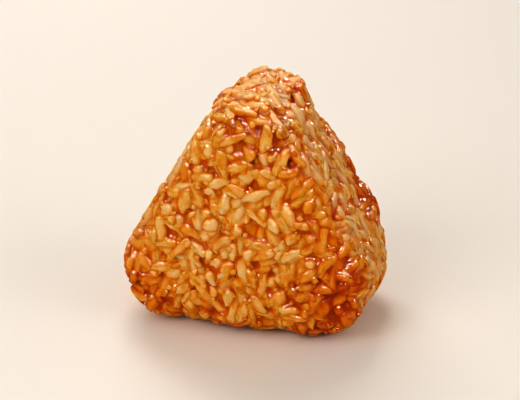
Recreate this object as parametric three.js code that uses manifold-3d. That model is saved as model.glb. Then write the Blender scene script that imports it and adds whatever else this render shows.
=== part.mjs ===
// A grilled triangular rice ball (yaki onigiri): a pressed block of cooked rice that stands on one of
// its narrow sides. The block is one sticky body, so it is one solid: a core of packed rice with the
// grains that stand out on its surface fused on.
//
// Units are millimetres and +Z is up. The wide front face looks along -Y, and the origin is at the
// middle of the flat base that the rice ball rests on.
import * as THREE from "three";
import { MeshSurfaceSampler } from "three/addons/math/MeshSurfaceSampler.js";
import { mergeVertices } from "three/addons/utils/BufferGeometryUtils.js";
import Module from "manifold-3d";

// ---- driving dimensions ----

// The pressed block, measured over the tops of its grains.
const BLOCK = {
  width: 67.5, // of the front face
  height: 63.8,
  depthAtBase: 41.5, // front face to back face
  depthAtApex: 36.0,
  lean: 1.0, // the apex stands this far in front of the middle of the base
  apexShift: 1.0, // and this far to the right
  cornerRadius: 14.5, // of the triangle's three corners
  frontRim: 8.5, // radius where the front face turns into the narrow sides
  backRim: 12.5, // and the back face, which was pressed softer
  crown: 1.2, // swell of the wide faces at their middle
};

// A cooked short grain: a spindle that is widest between two shoulders and has a slight bend.
const GRAIN = {
  length: 7.2,
  width: 2.9,
  thickness: 2.5,
  spread: 0.14, // share by which a grain's size varies
  sides: 5,
  shoulders: 0.5, // half the length between the shoulders, as a share of the grain's
  bend: 0.45,
  slant: 9, // degrees that a grain may tip out of the surface
};

// The packed rice under the grains.
const CORE = {
  inset: 1.7, // it lies this far inside the block's outer form
  detail: 3, // subdivisions of the icosahedron that it is shaped from
  relief: 0.4, // height of its lumps
};

// How the grains lie on the core.
const LAYER = {
  grains: 262,
  candidates: 240, // places tried for each grain, of which it takes the roomiest
  proud: 0.6, // height of a grain's axis above the core
  seed: 11,
};

const RICE = { color: 0xcf7f26, roughness: 0.38, metalness: 0 };

// ---- helpers ----

const wasm = await Module();
wasm.setup();

// A small seeded generator (mulberry32), so that each build gives the same rice ball.
function seededRandom(seed) {
  let state = seed;
  return () => {
    state = (state + 0x6d2b79f5) | 0;
    let t = Math.imul(state ^ (state >>> 15), 1 | state);
    t = (t + Math.imul(t ^ (t >>> 7), 61 | t)) ^ t;
    return ((t ^ (t >>> 14)) >>> 0) / 4294967296;
  };
}

const random = seededRandom(LAYER.seed);
const vary = (amount) => amount * (2 * random() - 1);

// A closed geometry as a solid, with its shared vertices merged and its collapsed faces left out.
function toSolid(geometry) {
  const bare = new THREE.BufferGeometry();
  bare.setAttribute("position", geometry.getAttribute("position"));
  bare.setIndex(geometry.getIndex());
  const merged = mergeVertices(bare, 1e-4);
  const index = merged.getIndex().array;
  const triVerts = [];
  for (let i = 0; i < index.length; i += 3) {
    const [a, b, c] = index.subarray(i, i + 3);
    if (a !== b && b !== c && c !== a) triVerts.push(a, b, c);
  }
  return new wasm.Manifold(
    new wasm.Mesh({
      numProp: 3,
      vertProperties: merged.getAttribute("position").array,
      triVerts: new Uint32Array(triVerts),
    }),
  );
}

function toGeometry(solid) {
  const mesh = solid.getMesh();
  const geometry = new THREE.BufferGeometry();
  geometry.setAttribute("position", new THREE.BufferAttribute(mesh.vertProperties, mesh.numProp));
  geometry.setIndex(new THREE.BufferAttribute(mesh.triVerts, 1));
  geometry.computeVertexNormals();
  return geometry;
}

// ---- the block's outer form ----

// The front outline is a triangle of corner centres, rounded out by the corner radius.
const halfSpan = BLOCK.width / 2 - BLOCK.cornerRadius;
const cornerCentres = new THREE.Triangle(
  new THREE.Vector3(-halfSpan, 0, BLOCK.cornerRadius),
  new THREE.Vector3(halfSpan, 0, BLOCK.cornerRadius),
  new THREE.Vector3(BLOCK.apexShift, 0, BLOCK.height - BLOCK.cornerRadius),
);
const heart = new THREE.Vector3(0, 0, BLOCK.height * 0.4);

// Signed distance, near enough, from the block's outer form: negative inside.
function blockDistance(point) {
  const rise = THREE.MathUtils.clamp(point.z / BLOCK.height, 0, 1);
  const onPlane = new THREE.Vector3(point.x, 0, point.z);
  const nearest = cornerCentres.closestPointToPoint(onPlane, new THREE.Vector3());
  const fromHeart = onPlane.distanceTo(heart) / (BLOCK.width / 2);
  const swell = BLOCK.crown * Math.max(0, 1 - fromHeart ** 2);
  const halfDepth = THREE.MathUtils.lerp(BLOCK.depthAtBase, BLOCK.depthAtApex, rise) / 2 + swell;
  const offMiddle = point.y + BLOCK.lean * rise;
  const rim = offMiddle < 0 ? BLOCK.frontRim : BLOCK.backRim;
  const side = onPlane.distanceTo(nearest) - BLOCK.cornerRadius + rim;
  const face = Math.abs(offMiddle) - halfDepth + rim;
  const outside = Math.hypot(Math.max(side, 0), Math.max(face, 0));
  return Math.min(Math.max(side, face), 0) + outside - rim;
}

// The point where a ray from the heart comes within a depth of the outer form, found by halving.
function pointUnderSurface(direction, depth) {
  const halvings = 24;
  let near = 0;
  let far = BLOCK.width;
  const point = new THREE.Vector3();
  for (let step = 0; step < halvings; step++) {
    const reach = (near + far) / 2;
    point.copy(heart).addScaledVector(direction, reach);
    if (blockDistance(point) < -depth) near = reach;
    else far = reach;
  }
  return point;
}

// ---- the core ----

// A lumpy body inside the outer form, with its underside pressed flat.
function coreGeometry() {
  const ball = new THREE.IcosahedronGeometry(1, CORE.detail);
  ball.deleteAttribute("normal");
  ball.deleteAttribute("uv");
  const core = mergeVertices(ball);
  const position = core.getAttribute("position");
  const direction = new THREE.Vector3();
  for (let i = 0; i < position.count; i++) {
    direction.fromBufferAttribute(position, i).normalize();
    const point = pointUnderSurface(direction, CORE.inset + vary(CORE.relief));
    const onBase = point.z < CORE.inset + CORE.relief;
    position.setXYZ(i, point.x, point.y, onBase ? 0 : point.z);
  }
  core.computeVertexNormals();
  return core;
}

// ---- the grains ----

// A grain along X, turned from its profile, flattened along Z and bent sideways.
function grainGeometry(size) {
  const half = (GRAIN.length * size) / 2;
  const radius = (GRAIN.width * size) / 2;
  const profile = [
    new THREE.Vector2(0, -half),
    new THREE.Vector2(radius, -half * GRAIN.shoulders),
    new THREE.Vector2(radius, half * GRAIN.shoulders),
    new THREE.Vector2(0, half),
  ];
  const grain = new THREE.LatheGeometry(profile, GRAIN.sides);
  grain.rotateZ(-Math.PI / 2);
  grain.rotateX(Math.PI / 2); // puts a ridge on top
  grain.scale(1, 1, GRAIN.thickness / GRAIN.width);
  const position = grain.getAttribute("position");
  for (let i = 0; i < position.count; i++) {
    const along = position.getX(i) / half;
    position.setY(i, position.getY(i) + GRAIN.bend * (1 - along ** 2));
  }
  return grain;
}

// One way for a grain to lie at a place on the core: its matrix, and points along its axis.
function layAt(place, normal, size) {
  const matrix = new THREE.Matrix4()
    .makeRotationFromQuaternion(
      new THREE.Quaternion().setFromUnitVectors(new THREE.Vector3(0, 0, 1), normal),
    )
    .multiply(new THREE.Matrix4().makeRotationZ(vary(Math.PI)))
    .multiply(new THREE.Matrix4().makeRotationY(vary(THREE.MathUtils.degToRad(GRAIN.slant))));
  matrix.setPosition(place.clone().addScaledVector(normal, LAYER.proud));
  const reach = (GRAIN.length * size - GRAIN.width) / 2;
  const axis = [-1, -1 / 3, 1 / 3, 1].map((share) =>
    new THREE.Vector3(share * reach, 0, 0).applyMatrix4(matrix),
  );
  return { size, matrix, axis };
}

// The least distance between the axes of a grain and of those laid before it. It stops early once
// that falls under what another place has.
function roomAround(grain, laid, enough) {
  let room = BLOCK.width;
  for (const other of laid) {
    for (const p of grain.axis) {
      for (const q of other.axis) room = Math.min(room, p.distanceTo(q));
    }
    if (room < enough) break;
  }
  return room;
}

// Grains are laid one by one, the largest first, each in the roomiest of several random places.
function layGrains(core) {
  const sampler = new MeshSurfaceSampler(new THREE.Mesh(core)).setRandomGenerator(random).build();
  const sizes = Array.from({ length: LAYER.grains }, () => 1 + vary(GRAIN.spread));
  sizes.sort((a, b) => b - a);
  const laid = [];
  const place = new THREE.Vector3();
  const normal = new THREE.Vector3();
  for (const size of sizes) {
    let best = null;
    let mostRoom = -1;
    for (let candidate = 0; candidate < LAYER.candidates; candidate++) {
      sampler.sample(place, normal);
      if (place.z < GRAIN.thickness / 2) continue;
      const grain = layAt(place, normal, size);
      const room = roomAround(grain, laid, mostRoom);
      if (room <= mostRoom) continue;
      best = grain;
      mostRoom = room;
    }
    laid.push(best);
  }
  return laid;
}

// ---- the rice ball ----

function riceBallGeometry() {
  const core = coreGeometry();
  const grains = layGrains(core).map(({ size, matrix }) =>
    toSolid(grainGeometry(size).applyMatrix4(matrix)),
  );
  const fused = wasm.Manifold.union([toSolid(core), ...grains]);
  const underBase = new THREE.BoxGeometry(BLOCK.width * 2, BLOCK.width * 2, BLOCK.height);
  underBase.translate(0, 0, -BLOCK.height / 2);
  const bodies = fused.subtract(toSolid(underBase)).decompose();
  bodies.sort((a, b) => b.volume() - a.volume()); // grains cut loose by the base are dropped
  return toGeometry(bodies[0]);
}

const riceBall = new THREE.Mesh(riceBallGeometry(), new THREE.MeshStandardMaterial(RICE));
riceBall.name = "rice_ball";

const group = new THREE.Group();
group.add(riceBall);

export default group;
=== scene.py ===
# A grilled rice ball: real cooked grains packed in a pressed triangular block and stuck together
# with soy glaze. All shaping is done in millimetres and written to the meshes in metres.
import math

import bmesh
import bpy
import numpy as np
from mathutils import Matrix, Vector, kdtree


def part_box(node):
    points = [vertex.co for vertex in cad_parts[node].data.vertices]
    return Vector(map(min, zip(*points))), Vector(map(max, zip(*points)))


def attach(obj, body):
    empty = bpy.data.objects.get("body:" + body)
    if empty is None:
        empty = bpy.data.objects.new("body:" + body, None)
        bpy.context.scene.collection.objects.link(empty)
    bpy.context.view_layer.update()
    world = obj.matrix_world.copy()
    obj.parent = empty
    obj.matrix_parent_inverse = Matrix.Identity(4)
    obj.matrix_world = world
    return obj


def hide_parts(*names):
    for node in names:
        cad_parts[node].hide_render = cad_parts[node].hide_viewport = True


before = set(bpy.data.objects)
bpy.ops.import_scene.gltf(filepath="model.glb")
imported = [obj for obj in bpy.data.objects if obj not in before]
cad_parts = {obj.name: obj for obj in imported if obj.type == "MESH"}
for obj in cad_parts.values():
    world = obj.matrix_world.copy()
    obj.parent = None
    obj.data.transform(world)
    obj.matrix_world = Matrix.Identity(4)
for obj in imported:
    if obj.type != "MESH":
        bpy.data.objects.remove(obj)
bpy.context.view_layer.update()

mm = 0.001
fullTurn = 6.3  # radians, near enough
cadLow, cadHigh = (np.array(corner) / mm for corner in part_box("rice_ball"))
cadSize = cadHigh - cadLow
random = np.random.default_rng(7)


def length(vectors):
    return np.linalg.norm(vectors, axis=-1)


def unit(vectors):
    tiny = 1e-9  # keeps a vector of no length from dividing by zero
    return vectors / np.maximum(length(vectors), tiny)[..., None]


def dot(a, b):
    return np.sum(a * b, axis=-1)


def smoothStep(values, low, high):
    share = np.clip((values - low) / (high - low), 0, 1)
    return share * share * (3 - 2 * share)


def normalDraws(count, lowest, highest):
    return random.standard_normal(count).clip(lowest, highest)


waves = {
    "octaves": 4,
    "growth": 0.37,  # of the frequency, from each octave to the next
    "planeShare": 0.5,  # of the long plane waves that keep the lumps from lying in rows
    "planeLength": 3,
}


def wander(places, scale, seed):
    # smooth random values around 0, about as far apart as scale
    shift = np.random.default_rng(seed).uniform(0, fullTurn, (waves["octaves"], 3))
    total = np.zeros(len(places))
    for octave, offset in enumerate(shift):
        turned = np.roll(places, octave, axis=1) * (1 + waves["growth"] * octave) * 2 / scale
        plane = np.sin(turned @ offset / waves["planeLength"])
        total += np.prod(np.sin(turned + offset), axis=1) + waves["planeShare"] * plane
    return total / 2


def spotsAt(places, spots):
    # the sum of soft round spots, each with its place, reach and strength
    total = np.zeros(len(places))
    for place, reach, strength in spots:
        total += strength * np.exp(-((length(places - np.array(place)) / reach) ** 2))
    return total


# The pressed block's outer form, sized from the frame.
block = {
    "width": cadSize[0] * 1.01,  # over the tops of the grains
    "height": cadSize[2],
    "depthAtBase": cadSize[1] * 0.955,
    "depthAtApex": cadSize[1] * 0.83,
    "lean": 1.0,  # the apex stands this far in front of the middle of the base
    "apexShift": 1.0,  # and this far to the right
    "cornerRadius": 14.5,
    "frontRim": 8.5,  # radius where the front face turns into the narrow sides
    "backRim": 12.5,
    "crown": 1.2,  # swell of the wide faces
    "heartRise": 0.4,  # of the middle of the block, as a share of the height
    "uneven": [  # where hands pressed the block in or left it proud: place, reach, height
        ((33.5, 8.0, 18.5), 6.5, -3.0),
        ((33.0, -9.0, 12.0), 7.5, -2.3),
        ((15.5, 8.0, 54.5), 6.0, -2.4),
        ((19.5, 8.0, 45.5), 4.0, 1.3),
        ((28.5, 9.0, 28.0), 6.0, 1.4),
        ((-8.0, 5.0, 61.0), 4.0, -1.4),
        ((-12.0, 0.0, 57.5), 3.0, 0.7),
    ],
}
heart = np.array([0.0, 0.0, block["height"] * block["heartRise"]])


def rimParts(points):
    # how far points lie out past the start of the rim, towards the narrow side and the wide face,
    # and the rim's radius there
    radius = block["cornerRadius"]
    halfSpan = block["width"] / 2 - radius
    top = [block["apexShift"], block["height"] - radius]
    corners = np.array([[-halfSpan, radius], [halfSpan, radius], top])
    flat = points[:, [0, 2]]
    outside = np.full(len(flat), np.inf)
    inside = np.ones(len(flat), bool)
    for start, end in zip(corners, np.roll(corners, -1, axis=0)):
        edge = end - start
        away = flat - start
        share = np.clip(away @ edge / (edge @ edge), 0, 1)
        outside = np.minimum(outside, length(away - share[:, None] * edge))
        inside &= edge[0] * away[:, 1] - edge[1] * away[:, 0] >= 0
    outside[inside] = 0
    rise = np.clip(points[:, 2] / block["height"], 0, 1)
    fromHeart = length(flat - heart[[0, 2]]) / (block["width"] / 2)
    depth = block["depthAtBase"] + (block["depthAtApex"] - block["depthAtBase"]) * rise
    halfDepth = depth / 2 + block["crown"] * np.maximum(0, 1 - fromHeart**2)
    offMiddle = points[:, 1] + block["lean"] * rise
    rim = np.where(offMiddle < 0, block["frontRim"], block["backRim"])
    return outside - radius + rim, np.abs(offMiddle) - halfDepth + rim, rim


def pastRim(points):
    # how far points lie past the middle of the rim, positive on the narrow sides
    side, face, _ = rimParts(points)
    return side - face


def blockDistance(points):
    # signed distance from the block's outer form, negative inside
    side, face, rim = rimParts(points)
    beyond = np.hypot(np.maximum(side, 0), np.maximum(face, 0))
    return np.minimum(np.maximum(side, face), 0) + beyond - rim - spotsAt(points, block["uneven"])


def blockNormal(points):
    step = 0.05
    slopes = []
    for axis in range(3):
        offset = np.zeros(3)
        offset[axis] = step
        slopes.append(blockDistance(points + offset) - blockDistance(points - offset))
    return unit(np.stack(slopes, axis=1))


scattering = {
    "places": 20000,  # spread evenly around the block
    "tried": 14,  # of these for each grain, which takes the roomiest
    "halvings": 20,  # to find how far out a place lies
}


def surfacePoints(directions, depth):
    # where rays from the heart come within a depth of the outer form
    near = np.zeros(len(directions))
    far = np.full(len(directions), block["width"])
    for _ in range(scattering["halvings"]):
        middle = (near + far) / 2
        deep = blockDistance(heart + directions * middle[:, None]) < -depth
        near = np.where(deep, middle, near)
        far = np.where(deep, far, middle)
    return heart + directions * near[:, None]


def evenDirections(count):
    # directions on a spiral that covers the sphere evenly
    rank = np.arange(count) + 0.5
    polar = np.arccos(1 - 2 * rank / count)
    around = math.pi * (1 + math.sqrt(5)) * rank
    ring = np.stack([np.cos(around), np.sin(around)], axis=1) * np.sin(polar)[:, None]
    return np.column_stack([ring, np.cos(polar)])


def scatterOnBlock(count, depth):
    # random places on the block at a depth, with no part of it left bare
    directions = evenDirections(scattering["places"])
    points = surfacePoints(directions, depth)
    area = length(points - heart) ** 2 / dot(blockNormal(points), directions)
    draws = random.choice(len(points), (count, scattering["tried"]), p=area / area.sum())
    chosen = points[draws[:, 0]]
    for index in range(1, count):
        candidates = points[draws[index]]
        room = length(candidates[:, None] - chosen[None, :index]).min(axis=1)
        chosen[index] = candidates[np.argmax(room)]
    return chosen


grain = {
    "length": 6.9,
    "width": 3.3,
    "thickness": 2.8,
    "lengthSpread": 0.16,  # shares by which sizes vary
    "lengthLimits": (-2.0, 1.3),  # in spreads
    "widthSpread": 0.14,
    "widthLimits": (-2.0, 2.0),
    "thicknessLimits": (0.9, 1.1),
    "broken": 0.17,  # share of the grains that are broken short
    "brokenLength": (0.6, 0.75),  # as a share of a whole grain's
    "bend": 0.6,  # sideways, at most
    "arch": 0.35,
    "roll": 0.6,
    "ripple": 0.05,  # shares of the girth
    "ripples": 5,
    "dents": 0.1,
    "warp": 0.35,  # grains are pushed out of shape by their neighbours by this much
    "warpSize": 3.0,
    "warpSeeds": (31, 32, 33),
    "segments": 8,
    "rings": 7,
    "fullness": 2.2,  # the power that keeps a grain thick towards its ends
    "germPlace": 0.75,  # of the dent that the germ leaves, along the grain's half
    "germReach": 0.3,
    "beside": 0.8,  # share of the way along the axis from which outwards is measured
    "patternRange": 100,  # no two grains show the same part of a pattern
    "forms": [  # how pointed the ends are, how much fuller one is, depth of the germ's dent
        (0.34, 0.08, 0.3),
        (0.42, -0.12, 0.2),
        (0.5, 0.15, 0.0),
        (0.3, -0.08, 0.25),
        (0.4, 0.22, 0.4),
    ],
}
packing = {
    "surface": 960,
    "inner": 440,
    "innerDepth": 3.1,  # of the second layer's axes under the outer form
    "steps": 120,
    "renewal": 10,  # steps until it is looked up again which grains are near each other
    "reach": 9.0,  # grains further apart than this can't touch
    "squash": 0.66,  # grains press into each other down to this share of their width
    "push": 0.45,  # shares of an overlap that one step makes good
    "shift": 0.6,
    "swing": 0.5,
    "pull": 0.35,  # share of the way back to its depth that a grain goes in one step
    "innerPull": 0.12,
    "levelling": 0.3,
    "unevenness": 0.5,
    "unevenLimits": (-1.6, 1.6),
    "tilt": 0.42,  # rise of a grain's one end and fall of the other, usually
    "tiltFreedom": 3,  # degrees of freedom of the tilts, so that a few are large
    "mostTilt": 1.7,
    "freeTilt": 0.84,  # a grain that tilts more than this lies deeper
    "alignment": 1.5,  # of the grains on the narrow sides, which lie along the outline
    "alignedFrom": 4.0,  # past the rim
    "clearance": 0.8,  # from the axis to the floor, as a share of a grain's radius
    "lift": 0.6,
    "flattening": 0.8,
}


def looseGrains():
    # grains of random sizes at random places, each with the depth and the tilt that it should get
    total = packing["surface"] + packing["inner"]
    outer = np.arange(total) < packing["surface"]
    long = grain["length"] * (1 + grain["lengthSpread"] * normalDraws(total, *grain["lengthLimits"]))
    broken = random.uniform(0, 1, total) < grain["broken"]
    long[broken] *= random.uniform(*grain["brokenLength"], broken.sum())
    wide = grain["width"] * (1 + grain["widthSpread"] * normalDraws(total, *grain["widthLimits"]))
    radius = wide * (1 + grain["thickness"] / grain["width"]) / 4
    onTop = scatterOnBlock(packing["surface"], grain["thickness"] / 2)
    centres = np.concatenate([onTop, scatterOnBlock(packing["inner"], packing["innerDepth"])])
    normal = blockNormal(centres)
    axes = random.standard_normal((total, 3))
    onSide = smoothStep(pastRim(centres), 0, packing["alignedFrom"])[:, None]
    axes += packing["alignment"] * onSide * np.cross(normal, [0, 1, 0])
    tilt = packing["tilt"] * random.standard_t(packing["tiltFreedom"], total)
    tilt = tilt.clip(-packing["mostTilt"], packing["mostTilt"])
    depth = radius + packing["unevenness"] * normalDraws(total, *packing["unevenLimits"])
    depth += np.maximum(0, np.abs(tilt) - packing["freeTilt"])
    return {
        "centre": centres,
        "axis": unit(axes - dot(axes, normal)[:, None] * normal),
        "long": long,
        "wide": wide,
        "radius": radius,
        "half": long / 2 - radius,
        "tilt": tilt,
        "depth": np.where(outer, depth, packing["innerDepth"]),
        "pull": np.where(outer, packing["pull"], packing["innerPull"])[:, None],
    }


def closestOnAxes(gap, axisA, axisB, halfA, halfB):
    # where two axes come closest: signed distances along each from its middle
    leastTurn = 1e-3  # keeps parallel axes from dividing by zero
    across = dot(axisA, axisB)
    alongA = dot(axisA, gap)
    alongB = dot(axisB, gap)
    turned = np.maximum(1 - across**2, leastTurn)
    s = np.clip((across * alongB - alongA) / turned, -halfA, halfA)
    t = np.clip(alongB + across * s, -halfB, halfB)
    s = np.clip(across * t - alongA, -halfA, halfA)
    return s, t


def pushApart(grains, a, b):
    # pairs of grains that overlap push each other off, which also swings their axes
    centres, axes, half, radius = (grains[name] for name in ("centre", "axis", "half", "radius"))
    gap = centres[a] - centres[b]
    s, t = closestOnAxes(gap, axes[a], axes[b], half[a], half[b])
    between = gap + s[:, None] * axes[a] - t[:, None] * axes[b]
    overlap = (radius[a] + radius[b]) * packing["squash"] - length(between)
    push = packing["push"] * np.maximum(0, overlap)[:, None] * unit(between)
    move = np.zeros(centres.shape)
    swing = np.zeros(centres.shape)
    np.add.at(move, a, push)
    np.add.at(move, b, -push)
    np.add.at(swing, a, (s / half[a])[:, None] * push)
    np.add.at(swing, b, -(t / half[b])[:, None] * push)
    grains["centre"] = centres + packing["shift"] * move
    grains["axis"] = unit(axes + packing["swing"] * swing / half[:, None])


def drawBack(grains):
    # grains go back to their depth and tilt, and up off the floor
    centres, axes, half = (grains[name] for name in ("centre", "axis", "half"))
    ends = half[:, None] * axes
    deep = -blockDistance(centres)
    deepA = -blockDistance(centres + ends)
    deepB = -blockDistance(centres - ends)
    normal = blockNormal(centres)
    tooDeep = (2 * deep + deepA + deepB) / 4 - grains["depth"]
    centres = centres + grains["pull"] * tooDeep[:, None] * normal
    lean = (deepA - deepB) / 2 - grains["tilt"]
    axes = unit(axes + (packing["levelling"] * lean / half)[:, None] * normal)
    clearance = packing["clearance"] * grains["radius"]
    under = np.minimum(0, centres[:, 2] - half * np.abs(axes[:, 2]) - clearance)
    centres[:, 2] -= packing["lift"] * under
    axes[:, 2] *= np.where(under < 0, packing["flattening"], 1)
    grains["centre"] = centres
    grains["axis"] = unit(axes)


def packGrains():
    grains = looseGrains()
    for step in range(packing["steps"]):
        if step % packing["renewal"] == 0:
            apart = length(grains["centre"][:, None] - grains["centre"][None])
            a, b = np.nonzero(np.triu(apart < packing["reach"], 1))
        pushApart(grains, a, b)
        drawBack(grains)
    return grains


# The few grains that stand out at the apex: middle, direction, length and width.
apexRows = [
    ((-2.4, 7.4, 62.8), (1.0, 0.1, 0.75), 5.6, 3.1),
    ((2.2, 8.0, 62.3), (1.0, 0.3, 0.05), 4.0, 2.4),
    ((7.0, 5.4, 62.0), (1.0, 0.35, 0.12), 5.4, 3.0),
    ((10.4, 3.0, 60.0), (0.4, 0.1, -1.0), 5.6, 3.0),
    ((-5.9, 3.0, 60.9), (0.9, 0.1, 0.45), 5.2, 3.0),
    ((-10.2, 2.2, 58.9), (0.9, 0.0, 0.4), 5.4, 3.0),
]


def apexGrains():
    places, directions, lengths, widths = (np.array(column, float) for column in zip(*apexRows))
    return {"centre": places, "axis": unit(directions), "long": lengths, "wide": widths}


packed, standing = packGrains(), apexGrains()
grains = {name: np.concatenate([packed[name], standing[name]]) for name in standing}
grainCount = len(grains["long"])
print("packed", grainCount, "grains")


def listMesh(bm):
    # a bmesh's vertices as an array and its faces as a list, sorted to be the same each run
    bm.verts.index_update()
    verts = np.array([vert.co for vert in bm.verts])
    faces = sorted([vert.index for vert in face.verts] for face in bm.faces)
    bm.free()
    return verts, faces


def grainForm(pointed, taper, notch):
    # a spindle along X, 2 long and 2 wide
    tiny = 1e-6
    bm = bmesh.new()
    bmesh.ops.create_uvsphere(bm, u_segments=grain["segments"], v_segments=grain["rings"], radius=1)
    bmesh.ops.rotate(bm, matrix=Matrix.Rotation(math.pi / 2, 3, "Y"), verts=bm.verts)
    for vert in bm.verts:
        along = vert.co.x
        around = Vector((0, vert.co.y, vert.co.z))
        if around.length > tiny:
            girth = (1 - abs(along) ** grain["fullness"]) ** pointed
            around *= girth / around.length * (1 + taper * along)
        offGerm = (along - grain["germPlace"]) / grain["germReach"]
        dent = notch * max(0, 1 - offGerm**2) * max(0, vert.co.y)
        vert.co = Vector((along, around.y - dent, around.z))
    bmesh.ops.recalc_face_normals(bm, faces=bm.faces)
    return listMesh(bm)


formVerts, formFaces = zip(*(grainForm(*form) for form in grain["forms"]))
vertsEach = len(formVerts[0])


def facesOf(members, first=0):
    # the faces of some grains, whose vertices follow each other from a first one
    faces = []
    for member in members:
        form = formFaces[member % len(formFaces)]
        faces += [[first + corner for corner in face] for face in form]
        first += vertsEach
    return faces


pressing = {
    "keepProud": 0.62,  # share of what stands out that pressing leaves on the wide faces
    "keepProudSide": 0.25,  # and on the narrow sides, which the mould pressed flat
    "sideBlend": (-2.0, 4.0),  # past the rim
    "keepProudApex": 0.9,
    "apexBlend": (5.0, 1.0),  # below the top
    "sideStart": 2.5,  # past the rim, where grains count as pressed
    "ragged": 1.2,  # unevenness of that line
    "raggedSize": 6.0,
    "raggedSeed": 3,
}


def pressGrains(placed):
    # what stands out past the outer form is pressed back, and the base is flat
    flat = placed.reshape(-1, 3)
    beyond = np.maximum(0, blockDistance(flat))
    onSide = smoothStep(pastRim(flat), *pressing["sideBlend"])
    keep = pressing["keepProud"] + (pressing["keepProudSide"] - pressing["keepProud"]) * onSide
    low, high = (block["height"] - below for below in pressing["apexBlend"])
    nearApex = smoothStep(flat[:, 2], low, high)
    keep = keep + (pressing["keepProudApex"] - keep) * nearApex
    flat = flat - ((1 - keep) * beyond)[:, None] * blockNormal(flat)
    flat[:, 2] = np.maximum(flat[:, 2], 0)
    return flat.reshape(placed.shape)


def shapeGrains(grains):
    # every grain's vertices in its own space and in place, grains by vertices by 3, and how near
    # each lies to its grain's crest
    count = len(grains["long"])
    form = np.array(formVerts)[np.arange(count) % len(formVerts)]
    along = form[..., 0]
    scale = grains["long"][:, None] / grain["length"]
    bend = grain["bend"] * scale * random.uniform(-1, 1, (count, 1))
    arch = -grain["arch"] * scale * random.uniform(0, 1, (count, 1))
    phase = random.uniform(0, fullTurn, (count, 1))
    girth = 1 + grain["ripple"] * np.sin(grain["ripples"] * along + phase)
    girth = girth + grain["dents"] * random.uniform(-1, 1, along.shape)
    thick = grains["wide"][:, None] * grain["thickness"] / grain["width"]
    thick = thick * random.uniform(*grain["thicknessLimits"], (count, 1))
    arc = 1 - along**2
    x = along * grains["long"][:, None] / 2
    y = form[..., 1] * girth * grains["wide"][:, None] / 2 + bend * arc
    z = form[..., 2] * girth * thick / 2 + arch * arc
    axis = grains["axis"]
    normal = blockNormal(grains["centre"])
    up = unit(normal - dot(normal, axis)[:, None] * axis)
    side = np.cross(up, axis)
    roll = grain["roll"] * random.uniform(-1, 1, (count, 1))
    up, side = np.cos(roll) * up + np.sin(roll) * side, np.cos(roll) * side - np.sin(roll) * up
    placed = grains["centre"][:, None] + x[..., None] * axis[:, None]
    placed = placed + y[..., None] * side[:, None] + z[..., None] * up[:, None]
    flat = placed.reshape(-1, 3)
    warp = np.stack([wander(flat, grain["warpSize"], seed) for seed in grain["warpSeeds"]], axis=1)
    placed = placed + grain["warp"] * warp.reshape(placed.shape)
    beside = grain["beside"] * x[..., None] * axis[:, None]
    outward = unit(placed - grains["centre"][:, None] - beside)
    shift = random.uniform(0, grain["patternRange"], (count, 1, 3))
    return {
        "own": np.stack([x, y, z], axis=-1) + shift,
        "places": pressGrains(placed),
        "crest": dot(outward, normal[:, None]),
    }


grains |= shapeGrains(grains)
print("shaped the grains,", vertsEach, "vertices each")


# Where the glaze caramelised: in a line along the rims of the wide faces, and in patches.
toasting = {
    "rimWidth": 2.0,
    "rimStrength": 0.8,
    "rimStart": 3.0,  # distance past the rim's start over which the line comes up
    "patchSize": 13.0,  # of the patches along the rim
    "patchSeed": 5,
    "patchEdges": (-0.7, 0.5),
    "leftRim": 0.35,  # strength of the left rim, as a share of the right one's
    "leftToRight": (-14.0, 4.0),  # where the one turns into the other
    "mean": 0.75,  # of the strength, over small dark and light places
    "ragged": 0.5,
    "raggedSize": 3.5,
    "raggedSeed": 9,
    "toasted": 0.5,  # a grain whose middle is toasted more than this is a toasted one
    "spots": [  # place, reach, strength
        ((-1.0, -18.0, 58.0), 2.4, 1.4),
        ((7.0, -17.5, 57.0), 4.0, 0.5),
        ((14.0, -17.0, 50.0), 4.5, 0.5),
        ((19.0, -18.5, 40.0), 4.0, 0.35),
        ((23.0, -19.0, 30.0), 5.5, 0.5),
        ((27.0, -19.5, 18.0), 8.0, 0.72),
        ((27.0, -18.0, 7.0), 8.5, 0.75),
        ((-29.0, -19.0, 14.0), 7.5, 0.8),
        ((-23.0, -20.0, 4.0), 6.0, 0.5),
        ((-4.0, -20.0, 3.0), 9.0, 0.3),
        ((10.5, 3.0, 60.0), 3.5, 0.9),
        ((-6.0, 4.0, 60.0), 3.0, 0.5),
        ((17.5, 9.0, 48.0), 4.0, 0.9),
        ((22.5, 9.5, 38.0), 5.0, 1.1),
        ((25.5, 7.0, 33.0), 4.5, 0.7),
        ((28.0, 8.5, 28.5), 5.0, 0.9),
        ((-20.0, 16.0, 32.0), 9.0, 0.6),
        ((-28.0, 12.0, 8.0), 8.0, 0.7),
        ((2.0, 15.0, 55.0), 6.0, 0.7),
    ],
}


def toastAt(places):
    side, face, _ = rimParts(places)
    onRim = np.exp(-(((side - face) / toasting["rimWidth"]) ** 2))
    onRim *= smoothStep(side, 0, toasting["rimStart"])
    patches = wander(places, toasting["patchSize"], toasting["patchSeed"])
    patches = smoothStep(patches, *toasting["patchEdges"])
    fromLeft = smoothStep(places[:, 0] * -np.sign(places[:, 1]), *toasting["leftToRight"])
    toast = toasting["rimStrength"] * onRim * patches
    toast *= toasting["leftRim"] + (1 - toasting["leftRim"]) * fromLeft
    toast += spotsAt(places, toasting["spots"])
    ragged = wander(places, toasting["raggedSize"], toasting["raggedSeed"])
    return np.clip(toast * (toasting["mean"] + toasting["ragged"] * ragged), 0, 1)


def onPressedSide(places):
    # the narrow sides lay against the mould and took little glaze
    ragged = wander(places, pressing["raggedSize"], pressing["raggedSeed"])
    return pastRim(places) + pressing["ragged"] * ragged > pressing["sideStart"]


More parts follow.
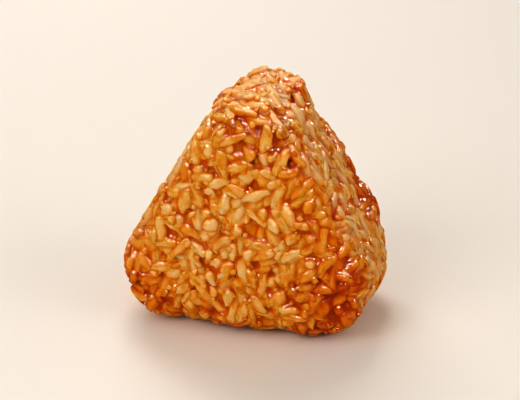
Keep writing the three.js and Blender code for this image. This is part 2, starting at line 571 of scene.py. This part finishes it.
# How thick the soy glaze is on the grains, with painted shade in it: deep under the outer form and
# close to the next grain the glaze is made thicker, so darker.
glazing = {
    "depths": (0.5, 2.3),  # under the outer form, from the first glaze and painted shade to the most
    "byDepth": 0.7,
    "gaps": (-0.15, 0.7),  # to the next grain, from the most glaze and painted shade to none
    "byGap": 0.45,
    "middleTone": 0.5,
    "toneSpread": 0.3,  # of the grains' own tones around the middle one
    "toneLimits": (-2.2, 2.2),
    "uneven": [  # where the glaze lies thicker or thinner: place, reach, amount
        ((-2.0, -20.0, 38.0), 10.0, -0.22),
        ((2.0, -19.0, 49.0), 6.0, 0.08),
        ((-4.0, -21.0, 30.0), 5.0, -0.12),
        ((5.5, -21.0, 33.0), 4.0, 0.15),
        ((10.0, -20.0, 24.0), 5.0, -0.12),
        ((-10.0, -21.0, 19.0), 8.0, -0.2),
        ((-30.0, -14.0, 22.0), 6.0, -0.1),
        ((15.0, -21.0, 11.0), 7.0, 0.25),
        # the apex gets thinner glaze, so paler grains: partly their own colour, partly a painted
        # whitish sheen where light falls on the top
        ((-1.0, -10.0, 62.0), 7.5, -0.2),
        ((8.0, -4.0, 58.0), 9.0, -0.15),
    ],
}
neighbours = {
    "axisShares": np.linspace(-0.7, 0.7, 5),  # points along a grain's axis that it is found by
    "found": 8,  # of these points, among which is the nearest grain's
    "girth": 0.46,  # a grain's radius, as a share of its width
    "far": 9,  # stands for a grain's distance from its own surface
}


def axisTree():
    shares = neighbours["axisShares"]
    tree = kdtree.KDTree(grainCount * len(shares))
    along = shares[None, :, None] * grains["axis"][:, None] * grains["long"][:, None, None] / 2
    for index, point in enumerate((grains["centre"][:, None] + along).reshape(-1, 3)):
        tree.insert(point, index // len(shares))
    tree.balance()
    return tree


axisPoints = axisTree()


def nearestGrains(places, own=None):
    # the grain whose surface is nearest to each place, other than its own, and how far off that is
    found = neighbours["found"]
    candidates = np.array([[hit[1] for hit in axisPoints.find_n(place, found)] for place in places])
    away = places[:, None] - grains["centre"][candidates]
    halfLong = grains["long"][candidates] / 2
    along = dot(away, grains["axis"][candidates])
    offAxis = length(away - along[..., None] * grains["axis"][candidates])
    share = np.clip(np.abs(along) / halfLong, 0, 1)
    radius = grains["wide"][candidates] * neighbours["girth"] * np.sqrt(1 - share ** grain["fullness"])
    gaps = offAxis - radius
    pastEnd = np.maximum(np.abs(along) - halfLong, 0)
    gaps = np.hypot(np.maximum(gaps, 0), pastEnd) + np.minimum(gaps, 0)
    if own is not None:
        gaps = np.where(candidates == own[:, None], neighbours["far"], gaps)
    best = np.argmin(gaps, axis=1)
    rows = np.arange(len(places))
    return candidates[rows, best], gaps[rows, best]


def colourGrains(grains, owners=None):
    # how thick the glaze is on each vertex, with painted shade deep under the outer form and close to
    # the next grain, how far it is toasted, and each grain's own tone
    count = len(grains["long"])
    flat = grains["places"].reshape(-1, 3)
    _, gaps = nearestGrains(flat, owners)
    # deep and close darken the glaze where shade falls: partly glaze that pooled, partly painted shade
    deep = smoothStep(-blockDistance(flat), *glazing["depths"])
    close = 1 - smoothStep(gaps, *glazing["gaps"])
    glaze = np.clip(glazing["byDepth"] * deep + glazing["byGap"] * close, 0, 1)
    glaze += spotsAt(flat, glazing["uneven"])
    tone = glazing["toneSpread"] * normalDraws(count, *glazing["toneLimits"])
    return {
        "glaze": glaze.reshape(count, vertsEach),
        "toast": toastAt(flat).reshape(count, vertsEach),
        "tone": glazing["middleTone"] + tone,
    }


grains |= colourGrains(grains, np.repeat(np.arange(grainCount), vertsEach))
print("worked out the glaze and the toasting")


def setValues(mesh, name, values):
    attribute = mesh.attributes.new(name, "FLOAT", "POINT")
    attribute.data.foreach_set("value", np.asarray(values, np.float32).ravel())


def setVectors(mesh, name, vectors):
    attribute = mesh.attributes.new(name, "FLOAT_VECTOR", "POINT")
    attribute.data.foreach_set("vector", np.asarray(vectors, np.float32).ravel())


def addPiece(name, verts, faces):
    mesh = bpy.data.meshes.new(name)
    mesh.from_pydata(verts.tolist(), [], faces)
    piece = bpy.data.objects.new(name, mesh)
    bpy.context.collection.objects.link(piece)
    return piece


def grainPiece(name, grains, members):
    piece = addPiece(name, grains["places"][members].reshape(-1, 3) * mm, facesOf(members))
    mesh = piece.data
    mesh.shade_smooth()
    for value in ("crest", "glaze", "toast"):
        setValues(mesh, value, grains[value][members])
    setValues(mesh, "tone", np.repeat(grains["tone"][members], vertsEach))
    setVectors(mesh, "grainSpace", grains["own"][members])
    print("made", name, "of", len(members), "grains")
    return piece


isToasted = toastAt(grains["centre"]) > toasting["toasted"]
isPressed = onPressedSide(grains["centre"]) & ~isToasted
allGrains = np.arange(grainCount)
riceGlazed = grainPiece("riceGlazed", grains, allGrains[~isToasted & ~isPressed])
ricePressed = grainPiece("ricePressed", grains, allGrains[isPressed])
riceToasted = grainPiece("riceToasted", grains, allGrains[isToasted])


# The sticky mass that the grains are sunk in.
sticky = {
    "inset": 1.8,  # of the solid heart under the outer form
    "detail": 5,
    "voxel": 0.5,
    "smoothing": 3,
    "smoothingFactor": 0.5,
    "shrink": 0.07,  # it stands this far back from the grains' tops, on the whole
    "swell": 0.22,  # and fills up or falls back by this much
    "swellSize": 5.0,
    "swellSeed": 21,
    "offFloor": 0.05,
    "leastGlaze": 0.1,
    "gaps": (-0.15, 0.35),  # from a grain's surface, from the first glaze and painted shade to the most
    "sunk": (0.5, 1.5),  # under the nearest grain's top, likewise
    "byPoolingAndShade": 0.65,
    "depths": (0.8, 2.6),  # under the outer form, likewise
    "byDepth": 0.6,
}


def heartAndGrains():
    # the solid heart and every grain, still overlapping, as vertices and faces
    bm = bmesh.new()
    bmesh.ops.create_icosphere(bm, subdivisions=sticky["detail"], radius=1)
    directions, faces = listMesh(bm)
    verts = surfacePoints(directions, sticky["inset"])
    verts[:, 2] = np.maximum(verts[:, 2], 0)
    faces += facesOf(range(grainCount), len(verts))
    return np.concatenate([verts, grains["places"].reshape(-1, 3)]), faces


def mergeSolids(piece):
    # one smoothed skin takes the place of overlapping solids
    remesh = piece.modifiers.new("merge", "REMESH")
    remesh.mode = "VOXEL"
    remesh.voxel_size = sticky["voxel"]
    smooth = piece.modifiers.new("pool", "SMOOTH")
    smooth.factor = sticky["smoothingFactor"]
    smooth.iterations = sticky["smoothing"]
    solid = bpy.data.meshes.new_from_object(piece.evaluated_get(bpy.context.evaluated_depsgraph_get()))
    piece.modifiers.clear()
    loose = piece.data
    piece.data = solid
    bpy.data.meshes.remove(loose)


def dropHollows(bm):
    # only the outer skin stays, without the small hollows between buried grains
    reached = set()
    front = [max(bm.verts, key=lambda vert: vert.co.z)]
    while front:
        vert = front.pop()
        if vert.index not in reached:
            reached.add(vert.index)
            front += [edge.other_vert(vert) for edge in vert.link_edges]
    inner = [vert for vert in bm.verts if vert.index not in reached]
    bmesh.ops.delete(bm, geom=inner, context="VERTS")


def glazeAndShadeMass(mesh, places, facing, nearest, gaps):
    # glaze pools between the grains and over those that are sunk, and the mass is darker deep under
    # the outer form; this darkening is partly painted shade
    tops = blockDistance(grains["places"].reshape(-1, 3)).reshape(grainCount, -1).max(axis=1)
    sunk = smoothStep(tops[nearest] - blockDistance(places), *sticky["sunk"])
    pooledAndShaded = np.maximum(smoothStep(gaps, *sticky["gaps"]), sunk)
    deep = smoothStep(-blockDistance(places), *sticky["depths"])
    glaze = sticky["leastGlaze"] + sticky["byPoolingAndShade"] * pooledAndShaded + sticky["byDepth"] * deep
    setValues(mesh, "glaze", np.clip(glaze, 0, 1) + spotsAt(places, glazing["uneven"]))
    setValues(mesh, "crest", dot(facing, blockNormal(places)))
    setValues(mesh, "tone", grains["tone"][nearest])
    setValues(mesh, "toast", toastAt(places))
    setVectors(mesh, "grainSpace", places)


def stickyMass():
    # the piece, its vertices in millimetres, and how far each is from a grain's surface
    piece = addPiece("stickyRice", *heartAndGrains())
    mergeSolids(piece)
    mesh = piece.data
    bm = bmesh.new()
    bm.from_mesh(mesh)
    dropHollows(bm)
    places = np.array([vert.co for vert in bm.verts])
    swell = wander(places, sticky["swellSize"], sticky["swellSeed"]).clip(-1, 1)
    for vert, rise in zip(bm.verts, sticky["swell"] * swell - sticky["shrink"]):
        vert.co += vert.normal * rise
        vert.co.z = max(vert.co.z, sticky["offFloor"])
    facing = np.array([vert.normal for vert in bm.verts])
    bm.to_mesh(mesh)
    bm.free()
    places = np.array([vert.co for vert in mesh.vertices])
    nearest, gaps = nearestGrains(places)
    glazeAndShadeMass(mesh, places, facing, nearest, gaps)
    mesh.transform(Matrix.Scale(mm, 4))
    mesh.shade_smooth()
    print("made the sticky mass,", len(mesh.polygons), "faces")
    return piece, places, gaps


# Broken bits of rice, stuck in the gaps between the grains.
bits = {
    "count": 700,
    "length": 1.9,
    "width": 1.3,
    "spread": 0.3,
    "limits": (-1.5, 1.5),
    "leastGap": 0.0,  # distance from the nearest grain's surface
    "mostGap": 0.9,
    "offFloor": 1.0,
    "lying": 0.7,  # 1 lays every bit along the surface, 0 leaves it as it fell
    "proud": 0.12,  # height of a bit's middle over the sticky mass
}


def looseBits(places, gaps):
    inGap = (gaps > bits["leastGap"]) & (gaps < bits["mostGap"]) & (places[:, 2] > bits["offFloor"])
    centres = random.choice(places[inGap], bits["count"], replace=False)
    normal = blockNormal(centres)
    nudge = 1e-3  # keeps a direction from having no length
    axes = unit(random.standard_normal((bits["count"], 3)) + nudge)
    size = 1 + bits["spread"] * normalDraws(bits["count"], *bits["limits"])
    return {
        "centre": centres + bits["proud"] * normal,
        "axis": unit(axes - bits["lying"] * dot(axes, normal)[:, None] * normal),
        "long": bits["length"] * size,
        "wide": bits["width"] * size,
    }


stickyRice, massPlaces, massGaps = stickyMass()
brokenBits = looseBits(massPlaces, massGaps)
brokenBits |= shapeGrains(brokenBits)
brokenBits |= colourGrains(brokenBits)
riceBits = grainPiece("riceBits", brokenBits, np.arange(bits["count"]))


def newGroup(name, inputs, outputs):
    group = bpy.data.node_groups.new(name, "ShaderNodeTree")
    for socketName in inputs:
        group.interface.new_socket(socketName, in_out="INPUT", socket_type="NodeSocketFloat")
    for socketName, kind in outputs.items():
        group.interface.new_socket(socketName, in_out="OUTPUT", socket_type=kind)
    return group, group.nodes.new("NodeGroupInput"), group.nodes.new("NodeGroupOutput")


def plug(tree, socket, value):
    # a socket gets a link, a colour or a number
    if isinstance(value, bpy.types.NodeSocket):
        tree.links.new(value, socket)
    elif hasattr(value, "__len__") and len(value) == 3 and len(socket.default_value) == 4:
        socket.default_value = (*value, 1)
    else:
        socket.default_value = value


def mixNode(tree, factor, first, second, blend="MIX"):
    node = tree.nodes.new("ShaderNodeMix")
    node.data_type = "RGBA"
    node.blend_type = blend
    for socket, value in ((node.inputs[0], factor), (node.inputs[6], first), (node.inputs[7], second)):
        plug(tree, socket, value)
    return node.outputs[2]


def mathNode(tree, operation, *values, clamp=False):
    node = tree.nodes.new("ShaderNodeMath")
    node.operation = operation
    node.use_clamp = clamp
    for socket, value in zip(node.inputs, values):
        plug(tree, socket, value)
    return node.outputs[0]


def rangeNode(tree, value, low, high, newLow=0, newHigh=1):
    node = tree.nodes.new("ShaderNodeMapRange")
    node.interpolation_type = "SMOOTHSTEP"
    for socket, entry in zip(node.inputs, (value, low, high, newLow, newHigh)):
        plug(tree, socket, entry)
    return node.outputs[0]


def noiseNode(tree, size, detail=2, roughness=0.5):
    # noise in object space whose lumps are about this many millimetres
    coordinates = tree.nodes.new("ShaderNodeTexCoord")
    node = tree.nodes.new("ShaderNodeTexNoise")
    tree.links.new(coordinates.outputs["Object"], node.inputs["Vector"])
    node.inputs["Scale"].default_value = 1 / (size * mm)
    node.inputs["Detail"].default_value = detail
    node.inputs["Roughness"].default_value = roughness
    return node.outputs[0]


def streakNode(tree, size, stretch):
    # noise drawn out along each grain, in millimetres of the grain's own space
    place = tree.nodes.new("ShaderNodeAttribute")
    place.attribute_name = "grainSpace"
    mapping = tree.nodes.new("ShaderNodeMapping")
    mapping.inputs["Scale"].default_value = (1 / (size * stretch), 1 / size, 1 / size)
    node = tree.nodes.new("ShaderNodeTexNoise")
    node.inputs["Scale"].default_value = 1
    node.inputs["Detail"].default_value = 2
    tree.links.new(place.outputs["Vector"], mapping.inputs["Vector"])
    tree.links.new(mapping.outputs["Vector"], node.inputs["Vector"])
    return node.outputs[0]


def valueOf(tree, name):
    node = tree.nodes.new("ShaderNodeAttribute")
    node.attribute_name = name
    return node.outputs["Fac"]


def centred(tree, value):
    # what lies between 0 and 1, moved to lie around 0
    return mathNode(tree, "SUBTRACT", value, 0.5)


riceColour = {
    "glaze": [  # depth of the soy glaze over the grain, from bare to burnt, and its colour; the depth also carries painted shade on the grains' flanks and in the gaps
        (0.0, (0.98, 0.62, 0.3)),
        (0.16, (0.95, 0.5, 0.125)),
        (0.3, (0.9, 0.39, 0.04)),
        (0.44, (0.85, 0.29, 0.01)),
        (0.58, (0.8, 0.205, 0.002)),
        (0.7, (0.74, 0.15, 0.001)),
        (0.82, (0.62, 0.1, 0.0005)),
        (1.0, (0.54, 0.06, 0.0003)),
    ],
    "mostGlaze": 0.72,  # how deep it gets where nothing is toasted
    "patchNoise": (7.0, 4, 0.68),  # size, detail and roughness
    "streakNoise": (1.6, 1.8),  # size and stretch
    "speckNoise": (0.5, 1),
    "bloomColour": (0.66, 0.51, 0.4),  # the starch that dried on the pressed sides
    "bloomSize": 2.5,
    "bloomEdges": (0.3, 0.6),
    "bloomFade": -2.0,  # with toasting
    "rosyTint": (1.0, 0.95, 1.1),
    "goldenTint": (1.0, 1.07, 0.74),
    "tintSize": 3.5,
    "tintEdges": (0.35, 0.65),
    "wetDepths": (0.15, 0.6),  # from dull to wet
    "mostCoat": 0.6,
}


def riceColourGroup():
    group, inside, outside = newGroup(
        "riceColour",
        ["Glaze", "Variety", "Edges", "Pooling", "Patches", "Streaks"]
        + ["Toasting", "Mottle", "Bloom", "Golden"],
        {"Colour": "NodeSocketColor", "Wet": "NodeSocketFloat", "Coat": "NodeSocketFloat"},
    )
    patches = noiseNode(group, *riceColour["patchNoise"])
    streaks = streakNode(group, *riceColour["streakNoise"])
    depth = inside.outputs["Glaze"]
    # Edges darkens the flanks of a grain that turn away from the outside, as painted shade; Pooling
    # adds the glaze attribute, partly pooled glaze and partly painted shade in the gaps
    for name, amount in (
        ("Variety", centred(group, valueOf(group, "tone"))),
        ("Edges", mathNode(group, "SUBTRACT", 1.0, valueOf(group, "crest"))),
        ("Pooling", valueOf(group, "glaze")),
        ("Patches", centred(group, patches)),
        ("Streaks", centred(group, streaks)),
    ):
        depth = mathNode(group, "MULTIPLY_ADD", amount, inside.outputs[name], depth)
    depth = mathNode(group, "MINIMUM", depth, riceColour["mostGlaze"])
    toast = valueOf(group, "toast")
    depth = mathNode(group, "MULTIPLY_ADD", toast, inside.outputs["Toasting"], depth)
    ramp = group.nodes.new("ShaderNodeValToRGB")
    stops = ramp.color_ramp.elements
    stops[1].position = riceColour["glaze"][1][0]
    for place, _ in riceColour["glaze"][2:]:
        stops.new(place)
    for stop, (place, colour) in zip(stops, riceColour["glaze"]):
        stop.position = place
        stop.color = (*colour, 1)
    group.links.new(depth, ramp.inputs["Fac"])
    patchy = rangeNode(group, noiseNode(group, riceColour["bloomSize"]), *riceColour["bloomEdges"])
    untoasted = mathNode(group, "MULTIPLY_ADD", toast, riceColour["bloomFade"], 1.0, clamp=True)
    bloom = mathNode(group, "MULTIPLY", patchy, inside.outputs["Bloom"])
    bloom = mathNode(group, "MULTIPLY", bloom, untoasted)
    bloomed = mixNode(group, bloom, ramp.outputs["Color"], riceColour["bloomColour"])
    turned = rangeNode(group, noiseNode(group, riceColour["tintSize"]), *riceColour["tintEdges"])
    tint = mixNode(group, turned, riceColour["rosyTint"], riceColour["goldenTint"])
    tinted = mixNode(group, inside.outputs["Golden"], bloomed, tint, "MULTIPLY")
    speckle = centred(group, noiseNode(group, *riceColour["speckNoise"]))
    scale = group.nodes.new("ShaderNodeVectorMath")
    scale.operation = "SCALE"
    brightness = mathNode(group, "MULTIPLY_ADD", speckle, inside.outputs["Mottle"], 1.0)
    group.links.new(tinted, scale.inputs[0])
    group.links.new(brightness, scale.inputs["Scale"])
    wet = rangeNode(group, depth, *riceColour["wetDepths"])
    coat = rangeNode(group, depth, *riceColour["wetDepths"], 0, riceColour["mostCoat"])
    for name, value in (("Colour", scale.outputs[0]), ("Wet", wet), ("Coat", coat)):
        group.links.new(value, outside.inputs[name])
    return group


reliefNoise = {
    "lumps": (0.8, 1),  # size and detail
    "pores": (0.45, 1),
    "ridges": (0.7, 4),  # size and stretch
}


def stickyReliefGroup():
    inputs = ["Lumps", "Ridges", "Pores"]
    group, inside, outside = newGroup("stickyRelief", inputs, {"Height": "NodeSocketFloat"})
    noises = {
        "Lumps": noiseNode(group, *reliefNoise["lumps"]),
        "Pores": noiseNode(group, *reliefNoise["pores"]),
        "Ridges": streakNode(group, *reliefNoise["ridges"]),
    }
    height = 0.0
    for name, noise in noises.items():
        height = mathNode(group, "MULTIPLY_ADD", noise, inside.outputs[name], height)
    group.links.new(height, outside.inputs["Height"])
    return group


groups = [riceColourGroup(), stickyReliefGroup()]


def placeGroup(tree, group, look):
    node = tree.nodes.new("ShaderNodeGroup")
    node.node_tree = group
    for socket in node.inputs:
        socket.default_value = look[socket.name.lower()]
    return node


def riceMaterial(name, look):
    material = bpy.data.materials.new(name)
    material.use_nodes = True
    tree = material.node_tree
    shader = tree.nodes["Principled BSDF"]
    colour, relief = (placeGroup(tree, group, look) for group in groups)
    bump = tree.nodes.new("ShaderNodeBump")
    bump.inputs["Distance"].default_value = look["bumpHeight"] * mm
    bump.inputs["Strength"].default_value = look["bump"]
    tree.links.new(relief.outputs["Height"], bump.inputs["Height"])
    tree.links.new(bump.outputs["Normal"], shader.inputs["Normal"])
    tree.links.new(colour.outputs["Colour"], shader.inputs["Base Color"])
    dull = rangeNode(tree, colour.outputs["Wet"], 0, 1, look["dryRoughness"], look["wetRoughness"])
    tree.links.new(dull, shader.inputs["Roughness"])
    tree.links.new(colour.outputs["Coat"], shader.inputs["Coat Weight"])
    for socketName, value in (
        ("Subsurface Weight", look["translucency"]),
        ("Subsurface Radius", look["scatterColour"]),
        ("Subsurface Scale", look["scatter"] * mm),
        ("Coat Roughness", look["coatRoughness"]),
        ("Specular IOR Level", look["shine"]),
        ("Specular Tint", look["shineColour"]),
    ):
        plug(tree, shader.inputs[socketName], value)
    return material


glazedLook = {
    "glaze": 0.1,
    "variety": 0.24,
    # edges and pooling set the painted shade on the grains' flanks and in the gaps, the latter
    # together with pooled glaze
    "edges": 0.36,
    "pooling": 0.58,
    "patches": 0.5,
    "streaks": 0.6,
    "toasting": 0.46,
    "mottle": 0.15,
    "bloom": 0.0,
    "golden": 0.4,
    "lumps": 0.7,
    "ridges": 0.12,
    "pores": 0.36,
    "bump": 0.8,
    "bumpHeight": 0.3,
    "dryRoughness": 0.28,
    "wetRoughness": 0.12,
    "translucency": 0.5,
    "scatter": 0.8,
    "scatterColour": (1.0, 0.5, 0.2),
    "coatRoughness": 0.06,
    "shine": 0.5,
    "shineColour": (1.0, 0.97, 0.92),
}
pressedLook = {
    **glazedLook,
    "glaze": 0.14,
    "bloom": 0.38,
    "edges": 0.3,
    "pooling": 0.45,
    "dryRoughness": 0.45,
    "wetRoughness": 0.3,
}
toastedLook = {**glazedLook, "glaze": 0.16}
stickyLook = {**glazedLook, "glaze": 0.2, "edges": 0.5, "pores": 0.2, "shine": 0.55}
bitsLook = {**glazedLook, "glaze": 0.26, "edges": 0.15, "pooling": 0.35}
looks = {
    riceGlazed: glazedLook,
    riceBits: bitsLook,
    ricePressed: pressedLook,
    riceToasted: toastedLook,
    stickyRice: stickyLook,
}
for piece, look in looks.items():
    piece.data.materials.clear()
    piece.data.materials.append(riceMaterial(piece.name + "Finish", look))
    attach(piece, "root")
    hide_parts("rice_ball")
print("finished the materials")


daylight = (1.0, 0.95, 0.87)
lamplight = (1.0, 0.93, 0.79)
studio = {
    "floorSize": 3.0,
    "floorColour": (0.84, 0.81, 0.8),
    "floorRoughness": 0.6,
    "room": (1.0, 0.94, 0.84),
    "roomStrength": 0.24,
    "reflected": (1.0, 0.72, 0.42),  # what the wet glaze reflects of the room
    "reflectedStrength": 0.12,
    "azimuth": 15.0,  # of the camera, from straight in front towards the right
    "elevation": 24.5,
    "distance": 0.48,
    "aim": (0, 0, 0.030),
    "lens": 127.0,
    "lampDistance": 0.7,
    "windows": [  # name, azimuth, elevation, size, power, colour
        ("window", -30, 36, 0.5, 1.52, daylight),
        ("sideWindow", 80, 30, 0.5, 1.05, daylight),
        ("backWindow", -150, 40, 0.5, 1.9, daylight),
    ],
    "glints": [  # lamps that only the wet glaze reflects
        ("glintLeft", -45, 50, 0.12, 1.7, lamplight),
        ("glintSide", -80, 40, 0.12, 1.4, lamplight),
        ("glintFront", -5, 62, 0.12, 1.7, lamplight),
        ("glintRight", 50, 50, 0.12, 1.5, lamplight),
        ("glintBack", -165, 60, 0.15, 3.2, lamplight),
        ("glintFarSide", 120, 50, 0.15, 2.8, lamplight),
        ("glintHigh", 20, 72, 0.08, 0.7, lamplight),
        ("glintEdge", 75, 60, 0.08, 0.5, lamplight),
        ("sheenTop", -20, 68, 0.32, 0.17, (0.92, 0.88, 0.84)),
        ("sheenSide", 85, 38, 0.32, 0.15, (1.0, 0.88, 0.7)),
    ],
}


def placeAround(azimuth, elevation, distance):
    turn, rise = math.radians(azimuth), math.radians(elevation)
    flat = distance * math.cos(rise)
    offset = Vector((math.sin(turn) * flat, -math.cos(turn) * flat, distance * math.sin(rise)))
    return Vector(studio["aim"]) + offset


def addAimed(name, data, place):
    thing = bpy.data.objects.new(name, data)
    thing.location = place
    thing.rotation_euler = (Vector(studio["aim"]) - place).to_track_quat("-Z", "Y").to_euler()
    bpy.context.collection.objects.link(thing)
    return thing


def addLamp(name, azimuth, elevation, size, power, colour):
    lamp = bpy.data.lights.new(name, "AREA")
    lamp.shape = "DISK"
    lamp.size = size
    lamp.energy = power
    lamp.color = colour
    return addAimed(name, lamp, placeAround(azimuth, elevation, studio["lampDistance"]))


def addFloor():
    bm = bmesh.new()
    bmesh.ops.create_grid(bm, x_segments=1, y_segments=1, size=studio["floorSize"])
    mesh = bpy.data.meshes.new("floor")
    bm.to_mesh(mesh)
    bm.free()
    material = bpy.data.materials.new("paleFloor")
    material.use_nodes = True
    shader = material.node_tree.nodes["Principled BSDF"]
    shader.inputs["Base Color"].default_value = (*studio["floorColour"], 1)
    shader.inputs["Roughness"].default_value = studio["floorRoughness"]
    mesh.materials.append(material)
    floor = bpy.data.objects.new("floor", mesh)
    bpy.context.collection.objects.link(floor)
    floor.visible_glossy = False  # so that its reflection doesn't grey the glaze


def addRoom():
    # the room's light, and the dimmer and warmer room that the glaze reflects
    world = bpy.data.worlds.new("room")
    world.use_nodes = True
    tree = world.node_tree
    ray = tree.nodes.new("ShaderNodeLightPath").outputs["Is Glossy Ray"]
    lit = [share * studio["roomStrength"] for share in studio["room"]]
    seen = [share * studio["reflectedStrength"] for share in studio["reflected"]]
    tree.links.new(mixNode(tree, ray, lit, seen), tree.nodes["Background"].inputs["Color"])
    bpy.context.scene.world = world


def addCamera():
    camera = bpy.data.cameras.new("camera")
    camera.lens = studio["lens"]
    place = placeAround(studio["azimuth"], studio["elevation"], studio["distance"])
    bpy.context.scene.camera = addAimed("camera", camera, place)


addFloor()
for row in studio["windows"]:
    addLamp(*row).visible_glossy = False
for row in studio["glints"]:
    addLamp(*row).visible_diffuse = False
addRoom()
addCamera()
bpy.context.scene.view_settings.view_transform = "Standard"
bpy.context.scene.view_settings.look = "High Contrast"
print("set the lights and the camera")
